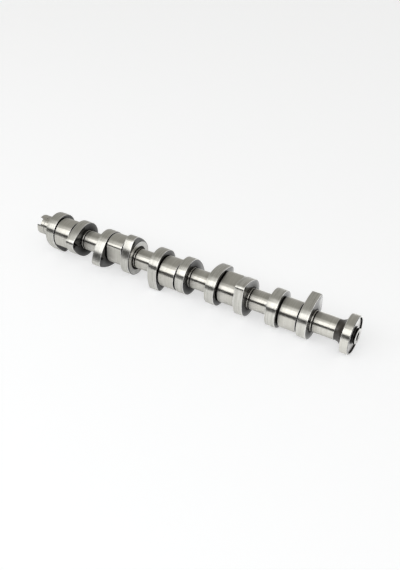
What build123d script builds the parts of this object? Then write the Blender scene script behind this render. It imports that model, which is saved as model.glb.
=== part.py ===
"""Camshaft of a five-cylinder engine, with a pair of valve lobes and an injector cam for each one.

One iron casting, ground on its journals, lobes, cams, drive spigot and gear flange. Millimetres.
The bearing axis is X: the slotted drive spigot points to -X and the gear flange to +X, and the
origin is the middle of the centre journal. Angles turn about X, from +Y towards +Z.
The shaft lies as it comes to rest on a flat surface, on the tips of three of its lobes.
"""

import os
from math import atan2, cos, pi, radians, sin, sqrt, tan

from build123d import *

# Engine layout
cylinder_pitch = 88.0
firing_order = (1, 2, 4, 5, 3)
phase_step = 360 / len(firing_order)
exhaust_first = (1, 2)  # cylinders whose exhaust lobe is the one nearer the drive end
thrust_cylinder = 2  # the one whose second lobe carries the thrust ring

# Widths along the shaft, in the order they come; the neck takes the rest of the pitch
first_lobe_width = 14.0
first_gap = 1.9
injector_cam_width = 23.9
second_gap = 3.6
second_lobe_width = 13.0
collar_width = 2.1
groove_width = 1.5
journal_width = 24.3
last_journal_width = 28.5

# Turned bands
journal_d = 28.0
groove_depth = 0.8
neck_depth = 0.7
core_d = 32.0
thrust_ring_bore_d = 34.4
thrust_ring_height = 0.4

# Valve lobes
base_d = 50.6
exhaust_lift, exhaust_nose_r, exhaust_flank_r = 9.6, 6.7, 57.8
inlet_lift, inlet_nose_r, inlet_flank_r = 8.7, 11.2, 60.4
lobe_separation_angle = 100.4  # from the inlet nose on to the exhaust nose
lobe_edge = 0.6

# Injector cams: a base circle, an eccentric swell, a round nose and a straight steep flank
injector_base_r = 18.2
swell_r = 21.6
injector_nose_r = 8.3
flank_angle = -20.4  # from the exhaust nose to the straight flank's normal
swell_angle = -81.7  # from that normal to the swell's offset

# Drive spigot with its cross slot
spigot_width = 11.4
spigot_d = 28.0
spigot_edge = 0.8
spigot_neck_width = 14.4
spigot_neck_d = 27.0
slot_width = 10.8
slot_depth = 6.2
slot_angle = -139.0  # from cylinder 1's exhaust nose

# Gear flange: waist, flare, rim, recessed face, centre boss and bolt hole
waist_width = 12.0
waist_d = 27.0
flange_width = 11.1
flange_d = 51.2
flange_edge = 0.7
rim_width = 2.0
recess_depth = 1.9
boss_foot_d = 23.6
boss_d = 20.6
boss_reach = 3.5  # past the rim
boss_edge = 0.8
bolt_hole_d = 12.6
bolt_hole_edge = 0.7
bolt_hole_depth = 38.0
drill_point = 118

# At rest: which way cylinder 1's exhaust nose points
rest_angle = 270.3

# Stations along the shaft, from the first lobe of cylinder 1
lobes_width = first_lobe_width + first_gap + injector_cam_width + second_gap + second_lobe_width
journal_start = lobes_width + collar_width + groove_width
middle_journal = (len(firing_order) - 1) / 2 * cylinder_pitch + journal_start + journal_width / 2
first_x = -middle_journal
waist_x = first_x + (len(firing_order) - 1) * cylinder_pitch + journal_start + last_journal_width
flange_x = waist_x + waist_width
rim_x = flange_x + flange_width
spigot_x = first_x - spigot_neck_width - spigot_width


def cylinder_x(cylinder):
    """Where a cylinder's first lobe begins."""
    return first_x + (cylinder - 1) * cylinder_pitch


def exhaust_angle(cylinder):
    """Direction of a cylinder's exhaust nose, one step back for each firing before its own."""
    return rest_angle - phase_step * firing_order.index(cylinder)


def on_circle(centre, radius, angle):
    return (centre[0] + radius * cos(angle), centre[1] + radius * sin(angle))


def arc(centre, radius, start, end):
    """Arc about a centre from one angle to another, in radians."""
    return ThreePointArc(*(on_circle(centre, radius, a) for a in (start, (start + end) / 2, end)))


def valve_lobe(lift, nose_r, flank_r):
    """Outline with its nose along +X: base circle, bulging flank, nose and flank, all tangent."""
    base_r = base_d / 2
    nose = base_r + lift - nose_r
    side = ((flank_r - base_r) ** 2 - (flank_r - nose_r) ** 2 + nose**2) / (2 * nose)
    drop = sqrt((flank_r - base_r) ** 2 - side**2)
    leaves_base = atan2(drop, -side)
    meets_nose = atan2(drop, nose - side)
    return [
        arc((0, 0), base_r, leaves_base, 2 * pi - leaves_base),
        arc((side, drop), flank_r, -leaves_base, -meets_nose),
        arc((nose, 0), nose_r, -meets_nose, meets_nose),
        arc((side, -drop), flank_r, meets_nose, leaves_base),
    ]


def injector_cam():
    """Outline with its straight flank's normal along +X: base, swell, nose and flank, all tangent."""
    swell = radians(swell_angle)
    offset = on_circle((0, 0), swell_r - injector_base_r, swell)
    nose_x = injector_base_r - injector_nose_r
    nose_y = offset[1] - sqrt((swell_r - injector_nose_r) ** 2 - (nose_x - offset[0]) ** 2)
    meets_nose = atan2(nose_y - offset[1], nose_x - offset[0]) + 2 * pi
    return [
        arc((0, 0), injector_base_r, 0, swell + pi),
        arc(offset, swell_r, swell + pi, meets_nose),
        arc((nose_x, nose_y), injector_nose_r, meets_nose, 2 * pi),
        Line((injector_base_r, nose_y), (injector_base_r, 0)),
    ]


def cam(outline, angle, x, width):
    """A cam of this outline with its edges broken, its +X turned to the angle."""
    section = Plane.YZ.offset(x) * Rot(0, 0, angle) * make_face(outline)
    solid = extrude(section, amount=width, dir=(1, 0, 0))
    ends = solid.faces().filter_by(Axis.X)
    return chamfer([edge for face in ends for edge in face.edges()], lobe_edge)


def band(x, width, diameter, edge=0.0):
    """Profile points of a turned band, with its two edges broken."""
    r = diameter / 2
    points = [(x, r - edge), (x + edge, r), (x + width - edge, r), (x + width, r - edge)]
    return points if edge else [(x, r), (x + width, r)]


def body():
    """Everything turned about the axis, from the drive spigot to the boss's bolt hole."""
    points = [(spigot_x, 0)]
    points += band(spigot_x, spigot_width, spigot_d, spigot_edge)
    points += band(spigot_x + spigot_width, spigot_neck_width, spigot_neck_d)
    for cylinder in sorted(firing_order):
        x = cylinder_x(cylinder)
        last = cylinder == len(firing_order)
        width = last_journal_width if last else journal_width
        points += band(x, lobes_width, core_d)
        points += band(x + lobes_width, collar_width, journal_d)
        points += band(x + journal_start - groove_width, groove_width, journal_d - 2 * groove_depth)
        points += band(x + journal_start, width, journal_d)
        if not last:
            neck = cylinder_x(cylinder + 1) - x - journal_start - width
            points += band(x + journal_start + width, neck, journal_d - 2 * neck_depth)
    points += [(waist_x, waist_d / 2)]

    # A quarter round from the waist up to the flange's back edge
    back_r = flange_d / 2 - flange_edge
    flare_r = back_r - waist_d / 2
    flare = arc((flange_x - flare_r, back_r), flare_r, -pi / 2, 0)

    face = band(flange_x, flange_width, flange_d, flange_edge)
    floor_x = rim_x - recess_depth
    boss_x = rim_x + boss_reach
    face += [(rim_x, flange_d / 2 - rim_width), (floor_x, flange_d / 2 - rim_width)]
    face += [(floor_x, boss_foot_d / 2), (rim_x, boss_foot_d / 2), (rim_x, boss_d / 2)]
    face += [(boss_x - boss_edge, boss_d / 2), (boss_x, boss_d / 2 - boss_edge)]
    hole_r = bolt_hole_d / 2
    point_x = boss_x - bolt_hole_depth
    face += [(boss_x, hole_r + bolt_hole_edge), (boss_x - bolt_hole_edge, hole_r), (point_x, hole_r)]
    face += [(point_x - hole_r / tan(radians(drill_point / 2)), 0), (spigot_x, 0)]

    outline = [Polyline(*points, flare @ 0), flare, Polyline(flare @ 1, *face)]
    return revolve(make_face(outline), Axis.X, 360)


def thrust_ring():
    """The turned face that locates the shaft, proud of the lobe it is on."""
    x = cylinder_x(thrust_cylinder) + lobes_width
    ring = Plane.YZ.offset(x) * (Circle(base_d / 2 - lobe_edge) - Circle(thrust_ring_bore_d / 2))
    return extrude(ring, amount=thrust_ring_height, dir=(1, 0, 0))


def drive_slot():
    """Straight across the spigot's end."""
    block = Box(2 * slot_depth, 2 * spigot_d, slot_width)
    return Pos(spigot_x, 0, 0) * Rot(exhaust_angle(1) + slot_angle, 0, 0) * block


exhaust = valve_lobe(exhaust_lift, exhaust_nose_r, exhaust_flank_r)
inlet = valve_lobe(inlet_lift, inlet_nose_r, inlet_flank_r)
injector = injector_cam()

camshaft = body() + thrust_ring()
for cylinder in firing_order:
    nose = exhaust_angle(cylinder)
    lobes = [(exhaust, nose), (inlet, nose - lobe_separation_angle)]
    first, second = lobes if cylinder in exhaust_first else reversed(lobes)
    x = cylinder_x(cylinder)
    camshaft += cam(*first, x, first_lobe_width)
    x += first_lobe_width + first_gap
    camshaft += cam(injector, nose + flank_angle, x, injector_cam_width)
    x += injector_cam_width + second_gap
    camshaft += cam(*second, x, second_lobe_width)
camshaft -= drive_slot()

os.makedirs("parts", exist_ok=True)
export_step(camshaft, "parts/camshaft.step")
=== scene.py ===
"""Looks of a ground iron camshaft. Metres, in the part's own frame: X is the bearing axis."""

import math

import bmesh
import bpy
import numpy as np
from mathutils import Euler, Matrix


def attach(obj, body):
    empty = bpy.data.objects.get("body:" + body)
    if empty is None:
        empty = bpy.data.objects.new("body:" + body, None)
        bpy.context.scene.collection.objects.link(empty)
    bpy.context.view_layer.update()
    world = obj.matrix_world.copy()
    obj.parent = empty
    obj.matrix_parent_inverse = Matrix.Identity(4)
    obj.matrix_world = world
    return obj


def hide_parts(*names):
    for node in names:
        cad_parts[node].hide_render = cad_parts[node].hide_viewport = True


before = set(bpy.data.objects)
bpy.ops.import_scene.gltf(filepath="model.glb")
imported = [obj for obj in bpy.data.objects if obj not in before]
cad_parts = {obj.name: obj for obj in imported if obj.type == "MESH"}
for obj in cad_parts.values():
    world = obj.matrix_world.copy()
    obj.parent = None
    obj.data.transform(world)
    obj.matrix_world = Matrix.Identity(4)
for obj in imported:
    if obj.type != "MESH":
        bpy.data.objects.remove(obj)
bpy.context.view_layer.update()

# The camera looks down on the shaft from the gear end, on its front side.
camera = bpy.data.objects.new("camera", bpy.data.cameras.new("camera"))
camera.location = (0.38956, -0.69931, 0.55787)
camera.rotation_euler = Euler([math.radians(a) for a in (54.7716, -1.5950, 30.4785)])
camera.data.lens = 46.145
camera.data.clip_end = 60
bpy.context.scene.collection.objects.link(camera)
bpy.context.scene.camera = camera


# ---------------------------------------------------------------------------------------------
# The shaft: one iron casting, turned between centres, then ground on its running surfaces.
# Its skin is a grid of stations along the shaft by angles round it, from the middle of the slot's
# floor to the bottom of the bolt hole, so it is closed and has no seam.
# ---------------------------------------------------------------------------------------------
JOURNAL_R = 14.0
NECK_R = 13.5
FIRST_X = -248.15  # where the first lobe begins
FIRST_NOSE = 270.3  # cylinder 1's exhaust nose, in degrees about X from +Y
SLOT_HALF = 5.4
SLOT_ANGLE = math.radians(FIRST_NOSE - 139.0)
EVEN_RAYS = 356
GROUND, LOBE, BROKEN_AND_HIGHLIGHT, FACE, SIDE, CAST_AND_SHADE, WAIST = range(7)  # the finishes, in the skin's order


def rays():
    """Angles round the shaft: even steps, and the four corners where the slot's walls leave the
    spigot's round, each twice, once as the end of the wall and once as the start of the gap."""
    step = 2 * math.pi / EVEN_RAYS
    corner = math.asin(SLOT_HALF / JOURNAL_R)
    corners = np.array([SLOT_ANGLE + end + side for end in (0, math.pi) for side in (-corner, corner)])
    corners = corners % (2 * math.pi)
    even = np.arange(EVEN_RAYS) * step
    gap = np.abs(np.angle(np.exp(1j * (even[:, None] - corners[None]))))
    even = even[(gap > 0.2 * step).all(1)]  # none so near a corner that it makes a sliver
    angle = np.concatenate([even, corners, corners])
    wall = np.concatenate([np.zeros(even.size), np.ones(4), -np.ones(4)])
    opening = np.cos(2 * (angle - SLOT_ANGLE)) > math.cos(2 * corner) + 1e-9
    in_gap = np.where(wall > 0, False, np.where(wall < 0, True, opening))
    rising = np.sin(2 * (angle - SLOT_ANGLE)) > 0  # the gap lies behind the corner
    order = np.where(wall == 0, 0, np.where((wall > 0) == rising, 1, -1))
    index = np.lexsort((order, angle))
    return angle[index], in_gap[index]


ANGLE, IN_GAP = rays()
stations = []  # each is (places along the shaft, reaches, finish of the strip that follows)


def ring(x, reach, finish=GROUND):
    """Adds one loop round the shaft; a number stands for the same value all the way round."""
    stations.append((np.broadcast_to(np.asarray(x, float), ANGLE.shape),
                     np.broadcast_to(np.asarray(reach, float), ANGLE.shape), finish))


# ---------------------------------------------------------------------------------------------
# The slotted drive spigot: ground round, faced off, with a slot milled straight across it.
# Each ray's profile runs from the slot's floor up its wall, over the end face and the broken
# edge, and on to the spigot's round; a ray inside the slot's mouth stays on the floor.
# ---------------------------------------------------------------------------------------------
SPIGOT_X, SPIGOT_WIDTH, SPIGOT_EDGE = -273.95, 11.4, 0.8
SLOT_FLOOR_X = -267.75
BACK_EDGE = 0.2
face_r = JOURNAL_R - SPIGOT_EDGE
off_slot = np.abs(np.sin(ANGLE - SLOT_ANGLE))
wall = np.where(IN_GAP, JOURNAL_R, np.minimum(SLOT_HALF / np.maximum(off_slot, 1e-6), JOURNAL_R))
wall_top = np.where(IN_GAP, SLOT_FLOOR_X, SPIGOT_X + np.maximum(wall - face_r, 0))
edge_r = np.where(IN_GAP, JOURNAL_R, np.maximum(wall, face_r))
edge_x = np.where(IN_GAP, SLOT_FLOOR_X, SPIGOT_X + edge_r - face_r)
for part in (0, 0.35, 0.7):
    ring(SLOT_FLOOR_X, wall * part, FACE)
ring(SLOT_FLOOR_X, wall, SIDE)
ring(wall_top, wall, FACE)
ring(edge_x, edge_r, BROKEN_AND_HIGHLIGHT)
ring(np.where(IN_GAP, SLOT_FLOOR_X, SPIGOT_X + SPIGOT_EDGE), JOURNAL_R)
ring(SLOT_FLOOR_X, JOURNAL_R)
ring(SPIGOT_X + SPIGOT_WIDTH - BACK_EDGE, JOURNAL_R, BROKEN_AND_HIGHLIGHT)
ring(SPIGOT_X + SPIGOT_WIDTH, JOURNAL_R - BACK_EDGE, SIDE)
ring(SPIGOT_X + SPIGOT_WIDTH, NECK_R, GROUND)
ring(FIRST_X, NECK_R, SIDE)

# ---------------------------------------------------------------------------------------------
# The five cylinder groups: a valve lobe, the wide injector cam and the other valve lobe, ground
# on their faces, then a narrow collar, a relief groove and the ground journal, and a neck.
# The second group's last lobe also carries a turned ring that locates the shaft endways.
# ---------------------------------------------------------------------------------------------
BASE_R = 25.3
CORE_R = 16.0


def arc_reach(centre, radius, angle):
    """How far a ray from the axis goes before it leaves a circle: c.d + sqrt(R2 - c.c + (c.d)2)."""
    along = centre[0] * np.cos(angle) + centre[1] * np.sin(angle)
    return along + np.sqrt(np.maximum(radius**2 - centre[0] ** 2 - centre[1] ** 2 + along**2, 0))


def valve_lobe(lift, nose_r, flank_r):
    """Reach of a valve lobe at each angle from its nose: the nose's circle, then the bulging flank's
    out to where it meets the base circle. A cut draws every one of them in by as much."""
    nose = BASE_R + lift - nose_r
    side = ((flank_r - BASE_R) ** 2 - (flank_r - nose_r) ** 2 + nose**2) / (2 * nose)
    drop = math.sqrt((flank_r - BASE_R) ** 2 - side**2)
    leaves_base = math.atan2(drop, -side)
    normal = math.atan2(drop, nose - side)

    def reach(angle, cut):
        turn = np.abs(np.angle(np.exp(1j * angle)))
        tip = nose_r - cut
        meets_nose = math.atan2(tip * math.sin(normal), nose + tip * math.cos(normal))
        flank = arc_reach((side, -drop), flank_r - cut, turn)
        return np.select([turn < meets_nose, turn < leaves_base],
                         [arc_reach((nose, 0), tip, turn), flank], BASE_R - cut)

    return reach


def injector_cam():
    """Reach of an injector cam at each angle from its straight flank's normal: the base circle, an
    eccentric swell, a round nose, then the flank, whose reach is its distance over the cosine."""
    base_r, swell_r, nose_r = 18.2, 21.6, 8.3
    swell = math.radians(-81.7)
    offset = ((swell_r - base_r) * math.cos(swell), (swell_r - base_r) * math.sin(swell))
    nose_x = base_r - nose_r
    nose_y = offset[1] - math.sqrt((swell_r - nose_r) ** 2 - (nose_x - offset[0]) ** 2)
    normal = math.atan2(nose_y - offset[1], nose_x - offset[0])

    def reach(angle, cut):
        turn = angle % (2 * math.pi)
        tip = nose_r - cut
        onto_nose = math.atan2(nose_y + tip * math.sin(normal), nose_x + tip * math.cos(normal))
        onto_nose = onto_nose % (2 * math.pi)
        off_nose = math.atan2(nose_y, base_r - cut) % (2 * math.pi)
        flank = (base_r - cut) / np.maximum(np.cos(turn), 0.3)  # kept finite where it isn't used
        return np.select([turn < swell + math.pi, turn < onto_nose, turn < off_nose],
                         [np.full(turn.shape, base_r - cut), arc_reach(offset, swell_r - cut, turn),
                          arc_reach((nose_x, nose_y), tip, turn)], flank)

    return reach


EXHAUST = valve_lobe(lift=9.6, nose_r=6.7, flank_r=57.8)
INLET = valve_lobe(lift=8.7, nose_r=11.2, flank_r=60.4)
INJECTOR = injector_cam()


def journal(x0, x1, edge):
    """A ground journal whose edges follow a quarter circle: in by 1 - cos, down by 1 - sin."""
    for start, sign, steps in ((x0, 1, (0, 0.5, 1)), (x1, -1, (1, 0.5, 0))):
        for t in steps:
            across = edge * (1 - math.cos(t * math.pi / 2))
            down = edge * (1 - math.sin(t * math.pi / 2))
            follows = GROUND if (sign, t) == (1, 1) else CAST_AND_SHADE if (sign, t) == (-1, 0) else BROKEN_AND_HIGHLIGHT
            ring(start + sign * across, JOURNAL_R - down, follows)


def ground_cam(x, width, reach, direction, finish, inner=CORE_R):
    """A cam's two sides with its ground running face between them, its edges rounded over."""
    turn = ANGLE - math.radians(direction)
    edge = 0.6
    halfway = edge * 0.3
    ring(x, CORE_R, SIDE)
    ring(x, reach(turn, edge), BROKEN_AND_HIGHLIGHT)
    ring(x + halfway, reach(turn, halfway), BROKEN_AND_HIGHLIGHT)
    ring(x + edge, reach(turn, 0), finish)
    ring(x + width - edge, reach(turn, 0), BROKEN_AND_HIGHLIGHT)
    ring(x + width - halfway, reach(turn, halfway), BROKEN_AND_HIGHLIGHT)
    ring(x + width, reach(turn, edge), SIDE)
    ring(x + width, inner, CAST_AND_SHADE)


PITCH = 88.0
FIRING_ORDER = (1, 2, 4, 5, 3)
PHASE = 72.0
LOBE_SEPARATION = 100.4  # degrees from the inlet nose on to the exhaust nose
FLANK_TURN = -20.4  # from the exhaust nose to the injector cam's straight flank
FIRST_LOBE, FIRST_GAP, INJECTOR_CAM, SECOND_GAP, SECOND_LOBE = 14.0, 1.9, 23.9, 3.6, 13.0
RING_OUTER, RING_BORE, RING_HEIGHT = 23.8, 17.2, 0.4
COLLAR, GROOVE, GROOVE_DEPTH = 2.1, 1.5, 0.8
PAINTED_ROOT_SHADE = 0.6  # dark strip of cast finish between a lobe and its collar: painted shade at the collar's root
JOURNAL_LENGTH, LAST_JOURNAL_LENGTH, JOURNAL_EDGE, NECK_DEPTH = 24.3, 28.5, 0.45, 0.7
NICK = 0.1  # the smallest edges
for cylinder in range(1, 6):
    x = FIRST_X + (cylinder - 1) * PITCH
    exhaust_nose = FIRST_NOSE - PHASE * FIRING_ORDER.index(cylinder)
    pair = [(EXHAUST, exhaust_nose), (INLET, exhaust_nose - LOBE_SEPARATION)]
    if cylinder > 2:
        pair.reverse()
    ground_cam(x, FIRST_LOBE, *pair[0], LOBE)
    x += FIRST_LOBE + FIRST_GAP
    ground_cam(x, INJECTOR_CAM, INJECTOR, exhaust_nose + FLANK_TURN, GROUND)
    x += INJECTOR_CAM + SECOND_GAP
    thrust = cylinder == 2
    ground_cam(x, SECOND_LOBE, *pair[1], LOBE, RING_OUTER if thrust else CORE_R)
    x += SECOND_LOBE
    if thrust:
        ring(x + RING_HEIGHT - NICK, RING_OUTER, CAST_AND_SHADE)
        ring(x + RING_HEIGHT, RING_OUTER - NICK, FACE)
        ring(x + RING_HEIGHT, RING_BORE, CAST_AND_SHADE)
        ring(x, RING_BORE, CAST_AND_SHADE)
    # The lobe's face first gets a dark strip of the cast finish: painted shade at the collar's root.
    ring(x, JOURNAL_R, CAST_AND_SHADE)
    ring(x + PAINTED_ROOT_SHADE, JOURNAL_R, GROUND)
    ring(x + COLLAR - NICK, JOURNAL_R, SIDE)
    # The turned relief groove takes the dark cast finish: painted shade in the groove.
    ring(x + COLLAR, JOURNAL_R - NICK, CAST_AND_SHADE)
    ring(x + COLLAR + NICK, JOURNAL_R - GROOVE_DEPTH, CAST_AND_SHADE)
    x += COLLAR + GROOVE
    ring(x, JOURNAL_R - GROOVE_DEPTH, CAST_AND_SHADE)
    length = LAST_JOURNAL_LENGTH if cylinder == 5 else JOURNAL_LENGTH
    journal(x, x + length, JOURNAL_EDGE)
    if cylinder < 5:
        ring(x + length, JOURNAL_R - NECK_DEPTH, CAST_AND_SHADE)
        ring(FIRST_X + cylinder * PITCH, JOURNAL_R - NECK_DEPTH, CAST_AND_SHADE)

# ---------------------------------------------------------------------------------------------
# The gear flange: a cast waist flares out into the flange, which is ground outside for the oil
# seal and faced off, with a turned recess round the stepped boss that centres the gear.
# The bolt that holds the gear goes into the threaded hole in the boss.
# ---------------------------------------------------------------------------------------------
WAIST_X, FLANGE_X, RIM_X, BOSS_X = 192.35, 204.35, 215.45, 218.95
FLARE_R, FLARE_STEPS = 11.4, 12
FLANGE_R, FLANGE_EDGE = 25.6, 0.7
RECESS_R, RECESS_DEPTH, RECESS_MIDDLE = 23.6, 1.9, 17.0
FOOT_R, BOSS_R, BOSS_EDGE = 11.8, 10.3, 0.6
HOLE_R, HOLE_EDGE = 6.3, 0.9
FLOOR_X = RIM_X - RECESS_DEPTH
ring(WAIST_X, NECK_R, WAIST)
for t in np.linspace(0, math.pi / 2, FLARE_STEPS):
    ring(FLANGE_X - FLARE_R * (1 - math.sin(t)), NECK_R + FLARE_R * (1 - math.cos(t)),
         BROKEN_AND_HIGHLIGHT if np.isclose(t, math.pi / 2) else WAIST)
for x, radius, finish in (
        (FLANGE_X + 0.2, FLANGE_R - 0.2, BROKEN_AND_HIGHLIGHT), (FLANGE_X + FLANGE_EDGE, FLANGE_R, GROUND),
        # The front edge's last half millimetre takes the cams' dark side finish: a painted dark reflection
        # line round the rim.
        (RIM_X - FLANGE_EDGE, FLANGE_R, BROKEN_AND_HIGHLIGHT), (RIM_X - 0.5, FLANGE_R - 0.05, SIDE),
        (RIM_X, FLANGE_R - FLANGE_EDGE, BROKEN_AND_HIGHLIGHT),
        # The turned recess wall takes the dark cast finish: painted shade in the recess.
        (RIM_X, RECESS_R + NICK, BROKEN_AND_HIGHLIGHT), (RIM_X - NICK, RECESS_R, CAST_AND_SHADE),
        (FLOOR_X, RECESS_R, FACE), (FLOOR_X, RECESS_MIDDLE, FACE), (FLOOR_X, FOOT_R, SIDE),
        (RIM_X, FOOT_R, FACE), (RIM_X, BOSS_R, SIDE),
        (BOSS_X - BOSS_EDGE, BOSS_R, BROKEN_AND_HIGHLIGHT), (BOSS_X - BOSS_EDGE / 4, BOSS_R - BOSS_EDGE / 2, BROKEN_AND_HIGHLIGHT),
        (BOSS_X, BOSS_R - BOSS_EDGE, FACE),
        # The drilled bore from the countersink down to the thread takes the dark cast finish: painted
        # shade in the hole.
        (BOSS_X, HOLE_R + HOLE_EDGE, BROKEN_AND_HIGHLIGHT), (BOSS_X - HOLE_EDGE, HOLE_R, CAST_AND_SHADE)):
    ring(x, radius, finish)

# The thread is cut outwards from the drilled size: a triangle wave that winds once in a pitch, and
# comes in and runs out over its first and last turns. The drill leaves a cone at the bottom.
THREAD_PITCH, THREAD_DEPTH = 1.5, 0.7
THREAD_START, THREAD_END, RUN_OUT = 3.0, 16.0, 2.0
HOLE_DEPTH, HALF_DRILL_POINT = 38.0, math.radians(59)
for back in np.arange(THREAD_START, THREAD_END, THREAD_PITCH / 4):
    turns = (back / THREAD_PITCH + ANGLE / (2 * math.pi)) % 1
    cut = THREAD_DEPTH * min(1, (back - THREAD_START) / RUN_OUT, (THREAD_END - back) / RUN_OUT)
    ring(BOSS_X - back, HOLE_R + cut * (1 - np.abs(2 * turns - 1)), FACE)
ring(BOSS_X - THREAD_END, HOLE_R, CAST_AND_SHADE)
ring(BOSS_X - HOLE_DEPTH, HOLE_R, CAST_AND_SHADE)
ring(BOSS_X - HOLE_DEPTH - HOLE_R / math.tan(HALF_DRILL_POINT), 0, CAST_AND_SHADE)

MM = 0.001
MEETING = 2e-6  # metres under which two points are one


def skin(name):
    """The stations as one closed mesh: a point is (x, reach times cos angle, reach times sin angle),
    and each face joins two neighbouring rays between two neighbouring stations."""
    x = np.array([s[0] for s in stations])
    reach = np.array([s[1] for s in stations])
    finish = np.array([s[2] for s in stations[:-1]])
    rows, columns = x.shape
    points = np.stack([x, reach * np.cos(ANGLE), reach * np.sin(ANGLE)], -1).reshape(-1, 3) * MM
    row, column = np.meshgrid(np.arange(rows - 1), np.arange(columns), indexing="ij")
    here, beside = row * columns + column, row * columns + (column + 1) % columns
    faces = np.stack((here, beside, beside + columns, here + columns), -1).reshape(-1, 4)
    mesh = bpy.data.meshes.new(name)
    mesh.from_pydata(points.tolist(), [], faces.tolist())
    mesh.polygons.foreach_set("material_index", np.repeat(finish, columns))
    made = bmesh.new()
    made.from_mesh(mesh)
    # Stations that meet, such as those across the slot's mouth, are merged and their slivers go.
    bmesh.ops.remove_doubles(made, verts=made.verts, dist=MEETING)
    bmesh.ops.dissolve_degenerate(made, edges=made.edges, dist=MEETING)
    bmesh.ops.recalc_face_normals(made, faces=made.faces)
    made.to_mesh(mesh)
    made.free()
    mesh.shade_smooth()
    mesh.set_sharp_from_angle(angle=math.radians(32))
    piece = bpy.data.objects.new(name, mesh)
    bpy.context.scene.collection.objects.link(piece)
    return piece


# ---------------------------------------------------------------------------------------------
# The shaft's finishes: ground iron, bright, with fine lines round the shaft; edges broken with a stone,
# their extra brightness part a painted highlight, and turned faces, brighter still; the cams' dark rubbed
# sides, with painted shade toward their roots; and the casting's skin, near black with painted shade in
# gaps, grooves and recesses.
# ---------------------------------------------------------------------------------------------
class Value:
    """A number socket, so that shader sums read as sums."""

    def __init__(self, tree, socket):
        self.tree, self.socket = tree, socket

    def maths(self, kind, *others):
        return self.tree.node("ShaderNodeMath", {"operation": kind}, [self, *others]).out(0)

    def __add__(self, other):
        return self.maths("ADD", other)

    def __sub__(self, other):
        return self.maths("SUBTRACT", other)

    def __mul__(self, other):
        return self.maths("MULTIPLY", other)

    def __rsub__(self, other):
        return (self * -1.0) + other

    __radd__, __rmul__ = __add__, __mul__


class Node:
    """A node that has been added, whose outputs are values."""

    def __init__(self, tree, made):
        self.tree, self.made = tree, made

    def out(self, key):
        return Value(self.tree, self.made.outputs[key])


class Tree:
    """A node tree and the one method that adds a node to it."""

    def __init__(self, tree):
        self.nodes, self.links = tree.nodes, tree.links

    def node(self, kind, settings=(), inputs=()):
        made = self.nodes.new(kind)
        for key, value in dict(settings).items():
            if key == "stops":
                while len(made.color_ramp.elements) < len(value):
                    made.color_ramp.elements.new(0.5)
                for element, (place, colour) in zip(made.color_ramp.elements, value):
                    element.position, element.color = place, (*colour, 1)
            else:
                setattr(made, key, value)
        pairs = inputs.items() if isinstance(inputs, dict) else enumerate(inputs)
        for key, value in pairs:
            self.put(value, made.inputs[key])
        return Node(self, made)

    def put(self, value, socket):
        """Links a value to a socket, or sets a plain number or colour there."""
        if isinstance(value, Value):
            self.links.new(value.socket, socket)
        else:
            socket.default_value = value


class Finish(Tree):
    """One material and its node tree."""

    def __init__(self, name):
        self.material = bpy.data.materials.new(name)
        self.material.use_nodes = True
        super().__init__(self.material.node_tree)

    def set(self, **values):
        for key, value in values.items():
            self.put(value, self.nodes["Principled BSDF"].inputs[key.replace("_", " ")])


def noise(finish, scale, stretch=(1, 1, 1), detail=4.0, roughness=0.55):
    """Noise on the piece's own coordinates, stretched by a scale along each axis."""
    place = finish.node("ShaderNodeTexCoord").out("Object")
    mapped = finish.node("ShaderNodeMapping", {}, {"Vector": place, "Scale": stretch}).out(0)
    inputs = {"Vector": mapped, "Scale": scale, "Detail": detail, "Roughness": roughness}
    return finish.node("ShaderNodeTexNoise", {}, inputs).out(0)


def share(finish, value, low, high, easing="LINEAR"):
    """How far a value has gone from low to high, kept between 0 and 1."""
    inputs = {"Value": value, "From Min": low, "From Max": high}
    return finish.node("ShaderNodeMapRange", {"interpolation_type": easing}, inputs).out(0)


def between(finish, factor, first, second):
    """A colour part of the way from the first to the second."""
    mixed = finish.node("ShaderNodeMix", {"data_type": "RGBA"}, {0: factor, 6: first, 7: second})
    return mixed.out(2)


PORE_COLOUR = (0.05, 0.045, 0.04, 1)


def ground(name, light, dark, roughness, grain_share):
    """Ground iron: lines round the shaft, a soft cloudiness and a few open graphite pores."""
    finish = Finish(name)
    lines = noise(finish, 40, (75, 1, 1), 4.0, 0.7)
    streaks = noise(finish, 30, (18, 1, 1), 2.0)
    clouds = noise(finish, 60, (1, 1, 1), 3.0)
    grain = noise(finish, 1300, (1, 1, 1), 2.0)
    shade = streaks * 0.45 + lines * (0.4 - grain_share) + clouds * 0.15 + grain * grain_share
    pores = share(finish, noise(finish, 420, (1, 1, 1), 3.0), 0.715, 0.75)
    plain = between(finish, share(finish, shade, 0.38, 0.60), dark, light)
    colour = between(finish, pores * 0.7, plain, PORE_COLOUR)
    height = lines * 0.7 + grain * (grain_share * 2) - pores * 25.0
    bump = finish.node("ShaderNodeBump", {}, {"Strength": 0.25, "Distance": 0.00002, "Height": height})
    finish.set(Base_Color=colour, Metallic=1.0, Roughness=roughness + clouds * 0.06 + pores * 0.3,
               Anisotropic=1.0, Normal=bump.out(0))
    return finish.material


def broken_edge_and_highlight():
    """The narrow edges broken by hand with a stone, brighter than what they bound: part bright stoned
    metal, part a painted highlight along every edge.
    """
    finish = Finish("broken_edge_and_highlight")
    nicks = noise(finish, 500, (1, 1, 1), 3.0)
    dull, bright = (0.66, 0.655, 0.64, 1), (0.84, 0.835, 0.82, 1)
    colour = between(finish, share(finish, nicks, 0.35, 0.6), dull, bright)
    finish.set(Base_Color=colour, Metallic=1.0, Roughness=0.26 + nicks * 0.1)
    return finish.material


def off_axis(finish):
    """Distance from the shaft's axis: sqrt(y2 + z2)."""
    parts = finish.node("ShaderNodeSeparateXYZ", {}, [finish.node("ShaderNodeTexCoord").out("Object")])
    y, z = parts.out(1), parts.out(2)
    return (y * y + z * z).maths("SQRT")


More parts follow.
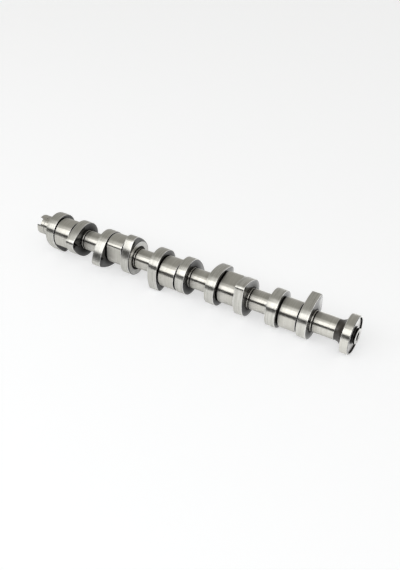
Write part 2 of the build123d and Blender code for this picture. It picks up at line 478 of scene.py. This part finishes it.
def turned_face():
    """Faces turned square to the shaft, with fine rings about its axis."""
    finish = Finish("turned_face")
    radius = off_axis(finish)
    rings = finish.node("ShaderNodeTexNoise", {"noise_dimensions": "1D"}, {"W": radius, "Scale": 2600.0})
    rings = rings.out(0)
    clouds = noise(finish, 150, (1, 1, 1), 3.0)
    shade = rings * 0.5 + clouds * 0.5
    dull, bright = (0.70, 0.69, 0.675, 1), (0.90, 0.89, 0.875, 1)
    colour = between(finish, share(finish, shade, 0.35, 0.65), dull, bright)
    bump = finish.node("ShaderNodeBump", {}, {"Strength": 0.1, "Distance": 0.00002, "Height": rings})
    finish.set(Base_Color=colour, Metallic=1.0, Roughness=0.28 + clouds * 0.08, Normal=bump.out(0))
    return finish.material


def cam_side():
    """The cams' sides: dark iron, rubbed to a gloss outside, still rough at the root, and darker toward
    the root: part the rough casting there, part painted shade beside the neighbouring cams.
    """
    finish = Finish("cam_side")
    patches = noise(finish, 110, (1, 1, 1), 4.0)
    grain = noise(finish, 1100, (1, 1, 1), 4.0, 0.6)
    shade = patches * 0.55 + grain * 0.45
    root_r, rubbed_r = 0.0192, 0.0268  # the rubbed part comes in between these; nearer the root the sides are darker, part rough casting, part painted shade
    rubbed_and_out_of_shade = share(finish, off_axis(finish) + patches * 0.004, root_r, rubbed_r)
    dark = between(finish, rubbed_and_out_of_shade, (0.006, 0.0055, 0.005, 1), (0.015, 0.0145, 0.0135, 1))
    light = between(finish, rubbed_and_out_of_shade, (0.016, 0.015, 0.0135, 1), (0.042, 0.0405, 0.038, 1))
    colour = between(finish, share(finish, shade, 0.36, 0.66), dark, light)
    bump = finish.node("ShaderNodeBump", {}, {"Strength": 0.12, "Distance": 0.00004, "Height": grain})
    finish.set(Base_Color=colour, Metallic=0.9, Roughness=0.14 + patches * 0.12, Normal=bump.out(0),
               Coat_Weight=rubbed_and_out_of_shade * 0.8 + 0.2, Coat_Roughness=0.12, Coat_IOR=1.75)
    return finish.material


def cast_iron(name, dark, middle, light, metallic, roughness, gloss):
    """The rough skin of the casting, left where nothing runs: speckled in three tones."""
    finish = Finish(name)
    grain = noise(finish, 1400, (1, 1, 1), 5.0, 0.65)
    patches = noise(finish, 90, (1, 1, 1), 4.0)
    shade = patches * 0.5 + grain * 0.5
    stops = [(0.34, dark), (0.52, middle), (0.70, light)]
    colour = finish.node("ShaderNodeValToRGB", {"stops": stops}, [shade])
    bump = finish.node("ShaderNodeBump", {}, {"Strength": 0.6, "Distance": 0.00025, "Height": grain})
    finish.set(Base_Color=colour.out(0), Metallic=metallic, Roughness=roughness + patches * 0.2,
               Normal=bump.out(0), Specular_IOR_Level=gloss)
    return finish.material


shaft = skin("camshaft_skin")
journal_ground = ground("journal_ground", light=(0.675, 0.662, 0.62, 1), dark=(0.57, 0.557, 0.51, 1),
                        roughness=0.31, grain_share=0.13)
lobe_ground = ground("lobe_ground", light=(0.72, 0.712, 0.675, 1), dark=(0.50, 0.494, 0.456, 1),
                     roughness=0.32, grain_share=0.3)
# The casting's skin is made near black, darker than the iron's own skin: part its real dark skin, part
# painted shade in the gaps, grooves, recess walls and hole that it lines.
cast_skin_and_shade = cast_iron("cast_skin_and_shade", (0.006, 0.005, 0.004), (0.013, 0.011, 0.010), (0.032, 0.029, 0.026),
                      metallic=0.3, roughness=0.42, gloss=0.2)
waist_skin = cast_iron("waist_skin", (0.011, 0.009, 0.007), (0.034, 0.028, 0.023), (0.10, 0.086, 0.075),
                       metallic=0.0, roughness=0.24, gloss=0.65)
for made in (journal_ground, lobe_ground, broken_edge_and_highlight(), turned_face(), cam_side(), cast_skin_and_shade, waist_skin):
    shaft.data.materials.append(made)

# The grinding lines run round X, so gloss spreads along X: with the texture space's middle far off
# in -Y and its X side immense, the tangent that Cycles takes from it is along X everywhere.
shaft.data.use_auto_texspace = False
shaft.data.texspace_location = (0, -1000, 0)
shaft.data.texspace_size = (1e6, 1, 1)
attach(shaft, "root")
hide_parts("camshaft")

# ---------------------------------------------------------------------------------------------
# The studio: a pale table that the shaft rests on at three lobe tips, one wide soft lamp on the
# camera's side, and a dim room with a dark band over the horizon that the ground bands mirror.
# ---------------------------------------------------------------------------------------------
REST_SLOPE = math.tan(math.radians(1.17))
TABLE_HALF = 9.0
TOUCH_X, TOUCH_Z = -0.2348, -0.03495  # just under the first lobe's tip
TABLE_GLOW = 0.52  # to the camera
MIRRORED_FRONT, MIRRORED_GEAR_END, MIRRORED_BEHIND = 0.19, 0.34, 0.6  # to the polished iron


def table():
    """A flat square, level apart from the slope at which the shaft lies on its lobe tips. It looks
    evenly lit, and brighter in the iron in front of the shaft, behind it and at the gear end."""
    corners = [(x * TABLE_HALF, y * TABLE_HALF) for x, y in ((-1, -1), (1, -1), (1, 1), (-1, 1))]
    points = [(x, y, TOUCH_Z + REST_SLOPE * (x - TOUCH_X)) for x, y in corners]
    mesh = bpy.data.meshes.new("table")
    mesh.from_pydata(points, [], [(0, 1, 2, 3)])
    made = bpy.data.objects.new("table", mesh)
    bpy.context.scene.collection.objects.link(made)
    finish = Finish("table_white")
    path = finish.node("ShaderNodeLightPath")
    to_iron, to_camera = (0.92, 0.93, 0.95, 1), (0.54, 0.548, 0.565, 1)
    paint = between(finish, path.out("Is Camera Ray"), to_iron, to_camera)
    finish.set(Base_Color=paint, Roughness=0.6, Specular_IOR_Level=0.2)
    parts = finish.node("ShaderNodeSeparateXYZ", {}, [finish.node("ShaderNodeTexCoord").out("Object")])
    x, y = parts.out(0), parts.out(1)
    front = share(finish, y, 0.01, -0.03)
    gear_end = share(finish, x, -0.05, 0.2) * share(finish, y, 0.03, -0.06)
    behind = share(finish, x, -0.08, 0.24) * share(finish, y, 0.025, 0.08)
    mirrored = gear_end * MIRRORED_GEAR_END + front * MIRRORED_FRONT + behind * MIRRORED_BEHIND
    glow = path.out("Is Camera Ray") * TABLE_GLOW + path.out("Is Glossy Ray") * mirrored
    finish.set(Emission_Color=between(finish, glow, (0, 0, 0, 1), (1, 1, 1, 1)), Emission_Strength=1.0)
    mesh.materials.append(finish.material)
    return made


table()


# The lamp is a long rectangle in front of the shaft and over it, turned to face it. Its edges are
# where the bright stripe along every ground band begins and ends.
LAMP_TURN, LAMP_DISTANCE = math.radians(139.2), 2.0  # about X from +Y
lamp = bpy.data.objects.new("front_lamp", bpy.data.lights.new("front_lamp", "AREA"))
lamp.data.shape = "RECTANGLE"
lamp.data.size, lamp.data.size_y = 3.4, 1.17
lamp.data.energy = 23.5
lamp.location = (-0.6, LAMP_DISTANCE * math.cos(LAMP_TURN), LAMP_DISTANCE * math.sin(LAMP_TURN))
lamp.rotation_euler = Euler((LAMP_TURN - math.pi / 2, 0, 0))
bpy.context.scene.collection.objects.link(lamp)

PALE_WALL = (0.9, 0.905, 0.915, 1)
CEILING_GLOW = 0.95


def studio_walls():
    """The room as the iron mirrors it: its grey follows the height in front of the shaft, atan2(up,
    -across), dark in a band over the horizon, with a bright patch of ceiling that fades out toward
    the slotted end. The camera sees only a pale wall."""
    world = bpy.data.worlds.new("studio")
    bpy.context.scene.world = world
    world.use_nodes = True
    room = Tree(world.node_tree)
    parts = room.node("ShaderNodeSeparateXYZ", {}, [room.node("ShaderNodeTexCoord").out("Generated")])
    along, across, up = (parts.out(i) for i in range(3))
    height = up.maths("ARCTAN2", across * -1.0)
    stops = [(0.0, (0.05, 0.05, 0.05)), (0.132, (0.05, 0.05, 0.05)), (0.165, (0.46, 0.455, 0.43)),
             (0.45, (0.45, 0.445, 0.418)), (0.75, (0.47, 0.465, 0.44)), (1.0, (0.52, 0.515, 0.50))]
    walls = room.node("ShaderNodeValToRGB", {"stops": stops}, [height * (1 / math.pi)])
    lean = along.maths("DIVIDE", (across * across + up * up).maths("SQRT"))
    low_edge = share(room, height, math.radians(54), math.radians(58))
    high_edge = share(room, height, math.radians(87), math.radians(71), "SMOOTHSTEP")
    ceiling = share(room, lean, -0.50, -0.12) * low_edge * high_edge
    lit = room.node("ShaderNodeMix", {"data_type": "RGBA", "blend_type": "ADD"},
                    {0: ceiling * CEILING_GLOW, 6: walls.out(0), 7: (1, 1, 1, 1)})
    to_camera = room.node("ShaderNodeLightPath").out("Is Camera Ray")
    room.put(between(room, to_camera, lit.out(2), PALE_WALL), room.nodes["Background"].inputs["Color"])


studio_walls()
bpy.context.scene.view_settings.view_transform = "Standard"
